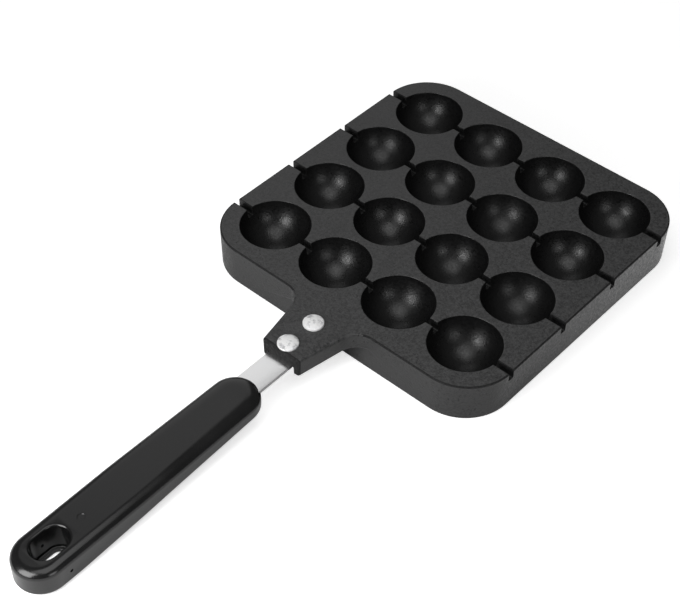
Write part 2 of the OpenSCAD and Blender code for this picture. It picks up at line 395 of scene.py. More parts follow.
@dataclass
class Tree:
    """A node tree with short calls for making and joining nodes."""

    tree: bpy.types.NodeTree

    def add(self, kind: str, **settings: object) -> bpy.types.Node:
        """Makes a node and sets its properties.

        Args:
            kind: Type of the node.
            **settings: Properties by name.

        Returns:
            The node.
        """
        node = self.tree.nodes.new(kind)
        for key, value in settings.items():
            setattr(node, key, value)
        return node

    def join(self, source: bpy.types.NodeSocket, target: bpy.types.NodeSocket) -> None:
        """Links an output to an input."""
        self.tree.links.new(source, target)

    def feed(self, socket: bpy.types.NodeSocket, value: object) -> None:
        """Sets an input to a value or links it to a socket.

        Args:
            socket: The input.
            value: Number, colour or output socket.
        """
        if isinstance(value, bpy.types.NodeSocket):
            self.join(value, socket)
        else:
            socket.default_value = value

    def math(self, kind: str, a: object, b: object = 0.0) -> bpy.types.NodeSocket:
        """Adds a math node.

        Args:
            kind: Operation of the node.
            a: First number or socket.
            b: Second number or socket.

        Returns:
            The node's output.
        """
        node = self.add("ShaderNodeMath", operation=kind)
        for socket, value in zip(node.inputs, (a, b)):
            self.feed(socket, value)
        return node.outputs[0]

    def mix(self, factor: object, low: object, high: object) -> bpy.types.NodeSocket:
        """Blends two colours by a factor.

        Args:
            factor: Number or socket.
            low: Colour or socket at a factor of 0.
            high: Colour or socket at a factor of 1.

        Returns:
            The blended colour.
        """
        node = self.add("ShaderNodeMix", data_type="RGBA")
        for index, value in ((0, factor), (6, low), (7, high)):
            self.feed(node.inputs[index], (*value, 1) if isinstance(value, tuple) else value)
        return node.outputs[2]

    def remap(self, value: object, low: float, high: float,
              to_low: object, to_high: object) -> bpy.types.NodeSocket:
        """Maps a value from one range to another, clamped.

        Args:
            value: The value that is mapped.
            low: Start of its range.
            high: End of its range.
            to_low: Result at the start.
            to_high: Result at the end.

        Returns:
            The mapped value.
        """
        node = self.add("ShaderNodeMapRange")
        for index, item in enumerate((value, low, high, to_low, to_high)):
            self.feed(node.inputs[index], item)
        return node.outputs[0]

    def noise(self, vector: object, scale: object, detail: float, roughness: float) -> bpy.types.NodeSocket:
        """Adds a noise texture.

        Args:
            vector: Coordinates.
            scale: Scale of the noise, a number or socket.
            detail: Number of finer layers.
            roughness: Strength of the finer layers.

        Returns:
            The noise's value.
        """
        node = self.add("ShaderNodeTexNoise")
        given = {"Vector": vector, "Scale": scale, "Detail": detail, "Roughness": roughness}
        for name, value in given.items():
            self.feed(node.inputs[name], value)
        return node.outputs["Fac"]

    def attribute(self, name: str) -> bpy.types.NodeSocket:
        """Reads a number that is stored on the mesh."""
        return self.add("ShaderNodeAttribute", attribute_name=name).outputs["Fac"]

    def three(self, x: object, y: object, z: object) -> bpy.types.NodeSocket:
        """Joins three numbers or sockets to a vector.

        Args:
            x: First part.
            y: Second part.
            z: Third part.

        Returns:
            The vector.
        """
        node = self.add("ShaderNodeCombineXYZ")
        for socket, value in zip(node.inputs, (x, y, z)):
            self.feed(socket, value)
        return node.outputs[0]


def shader_group(name: str, inputs: dict[str, float], outputs: Sequence[str],
                 fill: Callable[[Tree, bpy.types.Node, bpy.types.Node], None]) -> bpy.types.NodeTree:
    """Makes a shader node group once and returns it afterwards.

    Args:
        name: Name of the group.
        inputs: Names of the number inputs with their defaults; a Vector input comes first.
        outputs: Names of the number outputs.
        fill: Function that makes the nodes between the group's input and output.

    Returns:
        The group.
    """
    if name in bpy.data.node_groups:
        return bpy.data.node_groups[name]
    group = bpy.data.node_groups.new(name, "ShaderNodeTree")
    group.interface.new_socket("Vector", in_out="INPUT", socket_type="NodeSocketVector")
    for key, value in inputs.items():
        socket = group.interface.new_socket(key, in_out="INPUT", socket_type="NodeSocketFloat")
        socket.default_value = value
    for key in outputs:
        group.interface.new_socket(key, in_out="OUTPUT", socket_type="NodeSocketFloat")
    tree = Tree(group)
    fill(tree, tree.add("NodeGroupInput"), tree.add("NodeGroupOutput"))
    return group


def fill_grain(tree: Tree, source: bpy.types.Node, result: bpy.types.Node) -> None:
    """Fine cast or sprayed grain: a height and a mask of sparse flecks.

    Args:
        tree: The group's tree.
        source: Its input node.
        result: Its output node.
    """
    place = source.outputs["Vector"]
    fine, coarse = (tree.remap(tree.noise(place, source.outputs[size], 1.0, 0.5), 0.33, 0.67, 0.0, 1.0)
                    for size in ("Fine Scale", "Coarse Scale"))
    height = tree.math("ADD", tree.math("MULTIPLY", fine, 0.5), tree.math("MULTIPLY", coarse, 0.5))
    cells = tree.add("ShaderNodeTexVoronoi")
    tree.join(place, cells.inputs["Vector"])
    tree.join(source.outputs["Fleck Scale"], cells.inputs["Scale"])
    near = tree.remap(cells.outputs["Distance"], 0.1, 0.32, 1.0, 0.0)
    pick = tree.add("ShaderNodeSeparateColor")
    tree.join(cells.outputs["Color"], pick.inputs[0])
    chosen = tree.math("GREATER_THAN", pick.outputs[0], source.outputs["Fleck Cut"])
    tree.join(height, result.inputs["Height"])
    tree.join(tree.math("MULTIPLY", near, chosen), result.inputs["Flecks"])


def fill_smudge_and_reflection(tree: Tree, source: bpy.types.Node, result: bpy.types.Node) -> None:
    """Soft, uneven patches such as handling leaves, also used for painted dark reflections on the rivets: a
    value round one half and a mask.

    Args:
        tree: The group's tree.
        source: Its input node.
        result: Its output node.
    """
    broad = tree.noise(source.outputs["Vector"], source.outputs["Scale"], 3.0, 0.55)
    tree.join(tree.remap(broad, 0.3, 0.7, 0.0, 1.0), result.inputs["Value"])
    tree.join(tree.remap(broad, 0.52, 0.66, 0.0, source.outputs["Amount"]), result.inputs["Mask"])


def fill_brushing(tree: Tree, source: bpy.types.Node, result: bpy.types.Node) -> None:
    """Fine lines along Y, as a grinding belt leaves them.

    Args:
        tree: The group's tree.
        source: Its input node.
        result: Its output node.
    """
    across, along = source.outputs["Across"], source.outputs["Along"]
    stretch = tree.add("ShaderNodeMapping")
    tree.join(source.outputs["Vector"], stretch.inputs["Vector"])
    tree.join(tree.three(across, along, across), stretch.inputs["Scale"])
    tree.join(tree.noise(stretch.outputs[0], 1.0, 4.0, 0.7), result.inputs["Lines"])


def grain_group() -> bpy.types.NodeTree:
    """The shared group of fine grain and flecks."""
    sizes = {"Fine Scale": 2200.0, "Coarse Scale": 700.0, "Fleck Scale": 1400.0, "Fleck Cut": 0.8}
    return shader_group("fine_grain", sizes, ("Height", "Flecks"), fill_grain)


def smudge_and_reflection_group() -> bpy.types.NodeTree:
    """The shared group of soft patches."""
    return shader_group("soft_patches", {"Scale": 30.0, "Amount": 1.0}, ("Value", "Mask"), fill_smudge_and_reflection)


def brushing_group() -> bpy.types.NodeTree:
    """The shared group of brushed lines."""
    return shader_group("brushed_lines", {"Across": 3000.0, "Along": 30.0}, ("Lines",), fill_brushing)


# ---------------------------------------------------------------- finishes


@dataclass(frozen=True)
class Finish:
    """A surface finish with the nodes that every finish shares."""

    name: str

    def material(self) -> bpy.types.Material:
        """Makes the finish's material once and returns it afterwards.

        Returns:
            The material.
        """
        if self.name in bpy.data.materials:
            return bpy.data.materials[self.name]
        material = bpy.data.materials.new(self.name)
        material.use_nodes = True
        tree = Tree(material.node_tree)
        shader = material.node_tree.nodes["Principled BSDF"]
        place = tree.add("ShaderNodeTexCoord").outputs["Object"]
        self.dress(tree, shader, place)
        return material

    def dress(self, tree: Tree, shader: bpy.types.Node, place: bpy.types.NodeSocket) -> None:
        """Joins the finish's own nodes to the shader."""
        raise NotImplementedError

    @staticmethod
    def group(tree: Tree, group: bpy.types.NodeTree, place: bpy.types.NodeSocket,
              **sizes: float) -> bpy.types.Node:
        """Places a node group and sets its inputs.

        Args:
            tree: Tree that gets the group.
            group: The shared group.
            place: Coordinates for its Vector input.
            **sizes: Input values, with underscores for spaces.

        Returns:
            The group's node.
        """
        node = tree.add("ShaderNodeGroup", node_tree=group)
        tree.join(place, node.inputs["Vector"])
        for key, value in sizes.items():
            node.inputs[key.replace("_", " ")].default_value = value
        return node

    @staticmethod
    def bump(tree: Tree, shader: bpy.types.Node, height: bpy.types.NodeSocket,
             strength: float, depth: float) -> None:
        """Feeds a height to the shader's normal.

        Args:
            tree: The material's tree.
            shader: The shader.
            height: Height from 0 to 1.
            strength: Strength of the relief.
            depth: Depth of the relief in metres.
        """
        node = tree.add("ShaderNodeBump")
        node.inputs["Strength"].default_value = strength
        node.inputs["Distance"].default_value = depth
        tree.join(height, node.inputs["Height"])
        tree.join(node.outputs[0], shader.inputs["Normal"])


@dataclass(frozen=True)
class CoatedCasting(Finish):
    """Dark non-stick coating on cast metal, finer inside the cups, with painted shade that darkens its colour
    in the cups, grooves and walls, on the outer top edge and on the neck's front.
    """

    name: str = "dark_nonstick_coating"
    deck_low: Colour = (0.004, 0.004, 0.0041)
    deck_high: Colour = (0.072, 0.072, 0.0727)
    # Painted shade: the colour of the cups, which the grooves nearly take on and the walls partly take on.
    cup: Colour = (0.0035, 0.0035, 0.0036)
    fleck: Colour = (0.085, 0.085, 0.086)
    fleck_share: float = 0.16
    # Painted shade on the plate's rounded outer top edge and on the neck's front.
    edge: Colour = (0.004, 0.004, 0.0041)
    deck_roughness: float = 0.50
    cup_roughness: float = 0.34
    edge_dullness: float = 0.45
    deck_sparkle: float = 0.46
    cup_sparkle: float = 0.2
    deck_relief: float = 0.9
    cup_relief: float = 0.6

    def dress(self, tree: Tree, shader: bpy.types.Node, place: bpy.types.NodeSocket) -> None:
        """Grain and flecks over the whole coating, with its gloss by zone and painted shade: its tone darkens
        by zone towards the cups, and under the edge mask.

        Args:
            tree: The material's tree.
            shader: The shader.
            place: Object coordinates.
        """
        zone, edge = tree.attribute("zone"), tree.attribute("edge")
        grain = self.group(tree, grain_group(), place, Fine_Scale=1250.0, Coarse_Scale=640.0,
                           Fleck_Scale=1300.0, Fleck_Cut=0.72)
        patches = self.group(tree, smudge_and_reflection_group(), place, Scale=26.0, Amount=1.0)
        height = grain.outputs["Height"]
        # Painted shade: the base colour darkens from the deck through walls and grooves to the cups.
        low, high = (tree.mix(zone, deck, self.cup) for deck in (self.deck_low, self.deck_high))
        base = tree.mix(height, low, high)
        share = tree.math("MULTIPLY", grain.outputs["Flecks"], self.fleck_share)
        flecked = tree.mix(share, base, self.fleck)
        # Painted shade: the edge mask darkens the colour on the outer top edge and the neck's front.
        tree.join(tree.mix(edge, flecked, self.edge), shader.inputs["Base Color"])
        rough = tree.remap(zone, 0.0, 1.0, self.deck_roughness, self.cup_roughness)
        uneven = tree.remap(patches.outputs["Value"], 0.0, 1.0, -0.03, 0.04)
        amount = tree.remap(zone, 0.5, 1.0, self.deck_sparkle, self.cup_sparkle)
        sparkle = tree.math("MULTIPLY", tree.math("SUBTRACT", height, 0.5), amount)
        dull = tree.math("MULTIPLY", edge, self.edge_dullness)
        gloss = tree.math("ADD", tree.math("ADD", rough, uneven), tree.math("ADD", sparkle, dull))
        tree.join(gloss, shader.inputs["Roughness"])
        relief = tree.math("MULTIPLY", height, tree.remap(zone, 0.5, 1.0, self.deck_relief, self.cup_relief))
        self.bump(tree, shader, relief, strength=1.0, depth=0.00007)


@dataclass(frozen=True)
class StripSteel(Finish):
    """Satin steel, lightly brushed along its length, with painted shade on its upright sides."""

    name: str = "satin_strip_steel"
    light: Colour = (0.96, 0.96, 0.965)
    dark: Colour = (0.87, 0.87, 0.875)
    # Painted shade: the colour of the strip's upright sides.
    cut: Colour = (0.34, 0.34, 0.345)
    line_share: float = 0.7
    patch_share: float = 0.3
    least_roughness: float = 0.17
    most_roughness: float = 0.28

    def dress(self, tree: Tree, shader: bpy.types.Node, place: bpy.types.NodeSocket) -> None:
        """Brushed lines with faint smudges, and painted shade on the upright sides.

        Args:
            tree: The material's tree.
            shader: The shader.
            place: Object coordinates.
        """
        lines = self.group(tree, brushing_group(), place, Across=3600.0, Along=40.0).outputs["Lines"]
        patches = self.group(tree, smudge_and_reflection_group(), place, Scale=60.0, Amount=0.6).outputs["Value"]
        tone = tree.math("ADD", tree.math("MULTIPLY", lines, self.line_share),
                         tree.math("MULTIPLY", patches, self.patch_share))
        # Painted shade: the edge mask darkens the strip's upright sides.
        colour = tree.mix(tree.attribute("edge"), tree.mix(tone, self.dark, self.light), self.cut)
        tree.join(colour, shader.inputs["Base Color"])
        shader.inputs["Metallic"].default_value = 1.0
        gloss = tree.remap(tone, 0.2, 0.8, self.least_roughness, self.most_roughness)
        tree.join(gloss, shader.inputs["Roughness"])
        self.bump(tree, shader, lines, strength=0.12, depth=0.00002)


@dataclass(frozen=True)
class RivetMetal(Finish):
    """Bright pressed aluminium with dark reflections painted in soft patches."""

    name: str = "bright_rivet_metal"
    light: Colour = (0.985, 0.985, 0.985)
    # Painted reflection: the tone of the dark patches on the heads.
    dark: Colour = (0.48, 0.48, 0.49)
    metal: float = 0.2
    least_roughness: float = 0.30
    most_roughness: float = 0.48

    def dress(self, tree: Tree, shader: bpy.types.Node, place: bpy.types.NodeSocket) -> None:
        """Soft patches of painted dark reflection with uneven gloss, and fine scratches.

        Args:
            tree: The material's tree.
            shader: The shader.
            place: Object coordinates.
        """
        painted_reflection_patches = self.group(tree, smudge_and_reflection_group(), place, Scale=330.0, Amount=0.9)
        grain = self.group(tree, grain_group(), place, Fine_Scale=3000.0, Coarse_Scale=500.0,
                           Fleck_Scale=900.0, Fleck_Cut=0.9)
        # Painted reflection: dark patches mixed into the bright base colour.
        tree.join(tree.mix(painted_reflection_patches.outputs["Mask"], self.light, self.dark), shader.inputs["Base Color"])
        shader.inputs["Metallic"].default_value = self.metal
        gloss = tree.remap(painted_reflection_patches.outputs["Value"], 0.0, 1.0, self.least_roughness, self.most_roughness)
        tree.join(gloss, shader.inputs["Roughness"])
        self.bump(tree, shader, grain.outputs["Height"], strength=0.6, depth=0.0002)


@dataclass(frozen=True)
class BlackMoulding(Finish):
    """Black moulded plastic with a soft gloss."""

    name: str = "black_moulded_plastic"
    black: Colour = (0.0035, 0.0035, 0.0036)
    worn: Colour = (0.0065, 0.0065, 0.0066)
    least_roughness: float = 0.17
    most_roughness: float = 0.24
    fleck_roughness: float = 0.08

    def dress(self, tree: Tree, shader: bpy.types.Node, place: bpy.types.NodeSocket) -> None:
        """Faint handling patches in tone and gloss over a fine moulded skin.

        Args:
            tree: The material's tree.
            shader: The shader.
            place: Object coordinates.
        """
        patches = self.group(tree, smudge_and_reflection_group(), place, Scale=34.0, Amount=1.0).outputs["Value"]
        grain = self.group(tree, grain_group(), place, Fine_Scale=1800.0, Coarse_Scale=260.0,
                           Fleck_Scale=700.0, Fleck_Cut=0.93)
        tree.join(tree.mix(patches, self.black, self.worn), shader.inputs["Base Color"])
        rough = tree.remap(patches, 0.0, 1.0, self.least_roughness, self.most_roughness)
        flecks = tree.math("MULTIPLY", grain.outputs["Flecks"], self.fleck_roughness)
        tree.join(tree.math("ADD", rough, flecks), shader.inputs["Roughness"])
        self.bump(tree, shader, grain.outputs["Height"], strength=0.06, depth=0.00006)


# ---------------------------------------------------------------- repeated solids


@dataclass
class Repeater:
    """A Geometry Nodes tree that repeats one object and joins it to the piece or stands alone."""

    name: str
    tool: bpy.types.Object
    finish: Finish
    cut: Cut | None = None
    values: dict[str, tuple[str, object]] = field(default_factory=dict)

    def build(self, places: Callable[[Tree, bpy.types.Node], bpy.types.NodeSocket]) -> bpy.types.NodeTree:
        """Makes the tree.

        Args:
            places: Function that makes the nodes for the points and returns their output.

        Returns:
            The node tree.
        """
        group = bpy.data.node_groups.new(self.name, "GeometryNodeTree")
        face = group.interface
        face.new_socket("Geometry", in_out="INPUT", socket_type="NodeSocketGeometry")
        face.new_socket("Repeated Solid", in_out="INPUT", socket_type="NodeSocketObject")
        face.new_socket("Finish", in_out="INPUT", socket_type="NodeSocketMaterial")
        for key, (kind, _) in self.values.items():
            face.new_socket(key, in_out="INPUT", socket_type=kind)
        face.new_socket("Geometry", in_out="OUTPUT", socket_type="NodeSocketGeometry")
        tree = Tree(group)
        source = tree.add("NodeGroupInput")
        solid = tree.add("GeometryNodeObjectInfo", transform_space="ORIGINAL")
        tree.join(source.outputs["Repeated Solid"], solid.inputs["Object"])
        spread = tree.add("GeometryNodeInstanceOnPoints")
        tree.join(places(tree, source), spread.inputs["Points"])
        tree.join(solid.outputs["Geometry"], spread.inputs["Instance"])
        realised = tree.add("GeometryNodeRealizeInstances")
        tree.join(spread.outputs[0], realised.inputs[0])
        outcome = realised.outputs[0]
        if self.cut is not None:
            boolean = tree.add("GeometryNodeMeshBoolean", operation=self.cut.value, solver="MANIFOLD")
            if self.cut is Cut.REMOVE:
                tree.join(source.outputs["Geometry"], boolean.inputs["Mesh 1"])
            else:
                tree.join(source.outputs["Geometry"], boolean.inputs[1])
            tree.join(outcome, boolean.inputs[1])
            outcome = boolean.outputs["Mesh"]
        paint = tree.add("GeometryNodeSetMaterial")
        tree.join(outcome, paint.inputs["Geometry"])
        tree.join(source.outputs["Finish"], paint.inputs["Material"])
        tree.join(paint.outputs[0], tree.add("NodeGroupOutput").inputs[0])
        return group

    def apply(self, target: bpy.types.Object,
              places: Callable[[Tree, bpy.types.Node], bpy.types.NodeSocket]) -> None:
        """Runs the tree on a target, bakes the result and deletes the repeated solid.

        Args:
            target: Object whose mesh the tree changes or replaces.
            places: Function that makes the points.
        """
        group = self.build(places)
        modifier = target.modifiers.new(self.name, "NODES")
        modifier.node_group = group
        given = {"Repeated Solid": self.tool, "Finish": self.finish.material()}
        given |= {key: value for key, (_, value) in self.values.items()}
        for item in group.interface.items_tree:
            if item.in_out == "INPUT" and item.name in given:
                modifier[item.identifier] = given[item.name]
        bake(target)
        discard(self.tool)


def grid_points(tree: Tree, source: bpy.types.Node) -> bpy.types.NodeSocket:
    """Makes points on a square grid, from the inputs Count and Pitch.

    Args:
        tree: The tree of the repeat.
        source: Its input node.

    Returns:
        The points.
    """
    gaps = tree.math("SUBTRACT", source.outputs["Count"], 1.0)
    span = tree.math("MULTIPLY", gaps, source.outputs["Pitch"])
    grid = tree.add("GeometryNodeMeshGrid")
    tree.join(span, grid.inputs["Size X"])
    tree.join(span, grid.inputs["Size Y"])
    tree.join(source.outputs["Count"], grid.inputs["Vertices X"])
    tree.join(source.outputs["Count"], grid.inputs["Vertices Y"])
    return grid.outputs["Mesh"]


def row_points(tree: Tree, source: bpy.types.Node) -> bpy.types.NodeSocket:
    """Makes points in a line along Y, from the inputs Count, Pitch and First.

    Args:
        tree: The tree of the repeat.
        source: Its input node.

    Returns:
        The points.
    """
    line = tree.add("GeometryNodeMeshLine")
    tree.join(source.outputs["Count"], line.inputs["Count"])
    tree.join(tree.three(0.0, source.outputs["First"], 0.0), line.inputs["Start Location"])
    tree.join(tree.three(0.0, source.outputs["Pitch"], 0.0), line.inputs["Offset"])
    return line.outputs[0]


# ---------------------------------------------------------------- the casting


@dataclass
class Casting:
    """The cast plate with its cups, grooves and neck."""

    cups_per_side: int = 4
    cup_pitch: float = 44.0
    cup_r: float = 19.6
    cup_z: float = 24.1
    cup_wall: float = 3.0
    cup_rows: int = 22
    lip_r: float = 0.45
    half: float = PAN.plate_half
    corner_r: float = 28.3
    corner_steps: int = 28
    height: float = PAN.plate_height
    deck_t: float = 3.5
    skirt_t: float = 4.0
    skirt_lean: float = 0.5
    edge_r: float = 0.8
    cavity_lean: float = 0.6
    cavity_r: float = 2.4
    groove_half: float = 2.0
    groove_depth: float = 5.5
    groove_wall: float = 2.5
    groove_floor_r: float = 0.7
    groove_lip_r: float = 0.3
    rib_r: float = 1.2
    neck_front_y: float = PAN.neck_front_y
    neck_front_half: float = 12.8
    neck_root_half: float = 19.8
    neck_soft_r: float = 1.85
    front_foot: float = 12.0
    root_foot: float = 13.5
    root_overlap: float = 1.2
    root_depths: tuple[float, ...] = (0.5, 1.6)
    root_blend: float = 1.6
    web_low: float = PAN.web_low
    web_fillet_r: float = 0.9
    flange_t: float = 4.0
    fillet_r: float = 11.5
    rivet_r: float = PAN.shank_r + PAN.fit
    painted_shade_share: float = 0.9
    corner_band: float = 12.0
    cup_clear: float = 3.0
    front_band: float = 2.2
    finish: Finish = field(default_factory=CoatedCasting)

    def cup_profile(self) -> Profile:
        """Profile of the solid that hollows a cup, lip and all.

        Returns:
            Radius and height of each point.
        """
        edge = math.acos((self.cup_z - self.height + self.lip_r) / self.cup_r)
        just_below = edge - 0.006
        angles = [edge * i / self.cup_rows for i in range(self.cup_rows)] + [just_below]
        bowl = [(self.cup_r * math.sin(a), self.cup_z - self.cup_r * math.cos(a)) for a in angles]
        mouth = self.cup_r * math.sin(edge)
        lip = arc(mouth + self.lip_r, self.height - self.lip_r, self.lip_r, 180, 90, 6)
        return [*bowl, *lip, (lip[-1][0], self.height + 1), (0, self.height + 1)]

    def groove_section(self) -> Profile:
        """Section of the solid that cuts a stick groove, with soft lips and floor corners.

        Returns:
            Y and height of each point.
        """
        floor = self.height - self.groove_depth
        corner, lip = self.groove_floor_r, self.groove_lip_r
        half = self.groove_half
        right = arc(half - corner, floor + corner, corner, -90, 0, 4)
        right += arc(half + lip, self.height - lip, lip, 180, 90, 4)
        right.append((half + lip, self.height + 1))
        return right + [(-y, z) for y, z in reversed(right)]

    def rib_section(self) -> Profile:
        """Section of the metal under a groove.

        Returns:
            Y and height of each point.
        """
        low = self.height - self.groove_depth - self.groove_wall
        high = self.height - self.deck_t / 2
        half = self.groove_half + self.groove_wall
        right = arc(half - self.rib_r, low + self.rib_r, self.rib_r, -90, 0, 4) + [(half, high)]
        return right + [(-y, z) for y, z in reversed(right)]

    def plate(self) -> bpy.types.Object:
        """Makes the hollow slab with its rounded edges.

        Returns:
            The slab.
        """
        plan = rounded_square(self.half, self.corner_r, self.corner_steps)
        outer = wall_profile(0, self.height, self.edge_r, self.edge_r, self.skirt_lean, 0)
        slab = wall_solid("grill_plate_body", plan, [outer] * len(plan))
        inner_plan = rounded_square(self.half - self.skirt_t, self.corner_r - self.skirt_t, self.corner_steps)
        inner = wall_profile(-2, self.height - self.deck_t, TOOL_R, self.cavity_r, -self.cavity_lean, 0)
        combine(slab, wall_solid("cavity", inner_plan, [inner] * len(inner_plan)), Cut.REMOVE)
        return slab

    def neck_plan(self) -> tuple[list[Plan], list[float]]:
        """Works out the right half of the neck's outline.

        Returns:
            The outline, and the rounding of its top edge at each point.
        """
        corner_steps, fillet_steps = 10, 18
        soft = self.flange_t / 2
        front = Vector((self.neck_front_half - soft, self.neck_front_y + soft))
        root = Vector((self.neck_root_half - soft, -self.half))
        flank = root - front
        turn = math.degrees(math.atan2(flank.y, flank.x))
        lean = math.radians(90 - turn)
        centre = Vector((root.x + (self.fillet_r * (1 - math.sin(lean)) + soft) / math.cos(lean),
                         -self.half - self.fillet_r))
        plan = plan_arc(front.x, front.y, soft, -90, turn - 90, corner_steps)
        radii = [self.neck_soft_r] * len(plan)
        start = turn + 90
        for i in range(fillet_steps + 1):
            share = i / fillet_steps
            a = math.radians(start + (90 - start) * share)
            spoke = Vector((math.cos(a), math.sin(a)))
            plan.append((centre + spoke * self.fillet_r, -spoke))
            sharpness = min(1.0, share * self.root_blend)
            radii.append(self.neck_soft_r + (self.edge_r - self.neck_soft_r) * sharpness)
        for depth in self.root_depths:
            plan.append((Vector((centre.x + self.root_overlap, depth - self.half)), Vector((0, -1))))
            radii.append(self.edge_r)
        return plan, radii

    def neck(self) -> bpy.types.Object:
        """Makes the neck, open underneath, with soft edges and fillets at its root.

        Returns:
            The neck with its channel and rivet holes.
        """
        right, radii = self.neck_plan()
        plan = mirrored(right)
        soft = self.flange_t / 2
        near = self.neck_front_y + soft
        profiles = []
        for (place, _), top_r in zip(plan, radii + radii[::-1]):
            share = min(1.0, max(0.0, (place.y - near) / (-self.half - near)))
            foot = self.front_foot + (self.root_foot - self.front_foot) * share
            lean = self.skirt_lean / self.height * (self.height - foot)
            profiles.append(wall_profile(foot, self.height, self.neck_soft_r, top_r, lean, 0, 8))
        block = wall_solid("neck", plan, profiles)
        past_front, past_root, below = 2, 0.4, 4
        front = Vector((self.neck_front_half - self.flange_t, self.neck_front_y - past_front))
        root = Vector((self.neck_root_half - self.flange_t, -self.half + past_root))
        flank = (root - front).normalized()
        out = Vector((flank.y, -flank.x))
        corners = [(front, (out + Vector((0, -1))).normalized()), (root, (out + Vector((0, 1))).normalized())]
        channel = wall_profile(below, self.web_low, TOOL_R, self.web_fillet_r)
        combine(block, wall_solid("channel", mirrored(corners), [channel] * 4), Cut.REMOVE)
        for turn in range(2):
            drill_down(block, self.rivet_r, PAN.rivet_first_y + turn * PAN.rivet_pitch)
        return block

    def zone_of(self, place: Vector, normal: Vector, near: float) -> Zone:
        """Tells what kind of surface a face of the casting lies on.

        Args:
            place: Middle of the face in millimetres.
            normal: Normal of the face.
            near: Distance from the nearest cup's axis.

        Returns:
            The zone.
        """
        slack, rim_band, steep = 0.1, 0.5, 0.7
        x, y, z = place
        if near < self.cup_r + slack and math.dist((near, z), (0, self.cup_z)) < self.cup_r + 2 * slack:
            return Zone.CUP
        groove_floor = self.height - self.groove_depth
        if groove_floor - slack < z < self.height - rim_band and max(abs(x), abs(y)) < self.half - 1:
            return Zone.GROOVE
        if abs(normal.z) < steep or z < self.height - self.edge_r:
            return Zone.WALL
        return Zone.DECK

    def mark_zones(self, obj: bpy.types.Object) -> None:
        """Stores each face's zone, and a mask of painted shade on the outer rounded top edge and the neck's
        front.

        Args:
            obj: The finished casting.
        """
        first = -(self.cups_per_side - 1) / 2 * self.cup_pitch
        centres = [first + i * self.cup_pitch for i in range(self.cups_per_side)]
        zone = obj.data.attributes.new("zone", "FLOAT", "FACE")
        edge = obj.data.attributes.new("edge", "FLOAT", "FACE")
        for face in obj.data.polygons:
            x, y, z = place = face.center / MM
            near = min(math.hypot(x - cx, y - cy) for cx in centres for cy in centres)
            zone.data[face.index].value = self.zone_of(place, face.normal, near).value
            # Painted shade: the rounded outer top edge away from the cups, and the neck's front face.
            in_band = max(abs(x), abs(y)) > self.half - self.corner_band and y > -self.half - 1
            outer = in_band and near > self.cup_r + self.cup_clear
            rounded = self.height - self.edge_r < z < self.height - 0.002 and 0.05 < face.normal.z < 0.998
            front = y < self.neck_front_y + self.front_band and face.normal.y < -0.2
            edge.data[face.index].value = self.painted_shade_share if (outer and rounded) or front else 0.0

    def build(self) -> bpy.types.Object:
        """Makes the whole casting.

        Returns:
            The finished piece.
        """
        body = self.plate()
        pitch = self.cup_pitch * MM
        grid = {"Count": ("NodeSocketInt", self.cups_per_side), "Pitch": ("NodeSocketFloat", pitch)}
        row = grid | {"First": ("NodeSocketFloat", -(self.cups_per_side - 1) / 2 * pitch)}
        outer_r = self.cup_r + self.cup_wall
        high = self.height - self.deck_t / 2
        stop = math.degrees(math.asin((high - self.cup_z) / outer_r))
        bowl = revolve("bowl", [*arc(0, self.cup_z, outer_r, -90, stop, 18), (0, high)], 72)
        Repeater("cup_bowls", bowl, self.finish, Cut.ADD, grid).apply(body, grid_points)
        rib = bar_along_x("rib", self.rib_section(), self.half - self.skirt_t / 2)
        Repeater("groove_ribs", rib, self.finish, Cut.ADD, row).apply(body, row_points)
        combine(body, self.neck(), Cut.ADD)
        cup = revolve("cup_hollow", self.cup_profile(), 96)
        Repeater("cup_hollows", cup, self.finish, Cut.REMOVE, grid).apply(body, grid_points)
        groove = bar_along_x("groove", self.groove_section(), self.half + 1)
        Repeater("stick_grooves", groove, self.finish, Cut.REMOVE, row).apply(body, row_points)
        body.name = "casting"
        settle_shading(body)
        self.mark_zones(body)
        finish_piece(body, self.finish, "coated_casting", ["grill_plate"])
        return body


# ---------------------------------------------------------------- strip and rivets


@dataclass
class HandleStrip:
    """The steel strip from under the neck into the grip."""

    half: float = PAN.strip_half
    thickness: float = PAN.strip_t
    top: float = PAN.web_low
    start_y: float = -98.0
    bend_y: float = PAN.neck_front_y
    bend_half: float = 0.6
    end_y: float = PAN.strip_end_y
    edge_r: float = 0.25
    rivet_r: float = PAN.shank_r + PAN.fit
    rivet_places: tuple[float, ...] = (PAN.rivet_first_y + PAN.rivet_pitch, PAN.rivet_first_y)
    finish: Finish = field(default_factory=StripSteel)

    def top_at(self, y: float) -> float:
        """Height of the strip's top at a place along it."""
        return self.top - max(0.0, self.bend_y - y) * PAN.slope

    def section(self) -> Profile:
        """Section of the strip about its top middle, with broken edges.

        Returns:
            X and height of each point.
        """
        r, w, t = self.edge_r, self.half, self.thickness
        corners = arc(w - r, -t + r, r, -90, 0, 4) + arc(w - r, -r, r, 0, 90, 4)
        return corners + [(-x, z) for x, z in reversed(corners)]

    def build(self) -> bpy.types.Object:
        """Makes the strip with its rivet and locking holes.

        Returns:
            The finished piece.
        """
        section = self.section()
        bend = [self.bend_y + turn * self.bend_half for turn in (1, 0, -1)]
        rings = [[(x, y, self.top_at(y) + z) for x, z in section] for y in (self.start_y, *bend, self.end_y)]
        strip = skin("handle_strip_bar", rings)
        for radius, spots in ((self.rivet_r, self.rivet_places), (PAN.lock_r, PAN.lock_places)):
            for y in spots:
                drill_down(strip, radius, y)
        strip.name = "strip"
        settle_shading(strip)
        # Painted shade: a mask of the strip's upright sides, which the finish darkens.
        edge = strip.data.attributes.new("edge", "FLOAT", "FACE")
        for face in strip.data.polygons:
            edge.data[face.index].value = 1.0 if abs(face.normal.x) > 0.8 else 0.0
        finish_piece(strip, self.finish, "strip_steel", ["handle_strip"])
        return strip


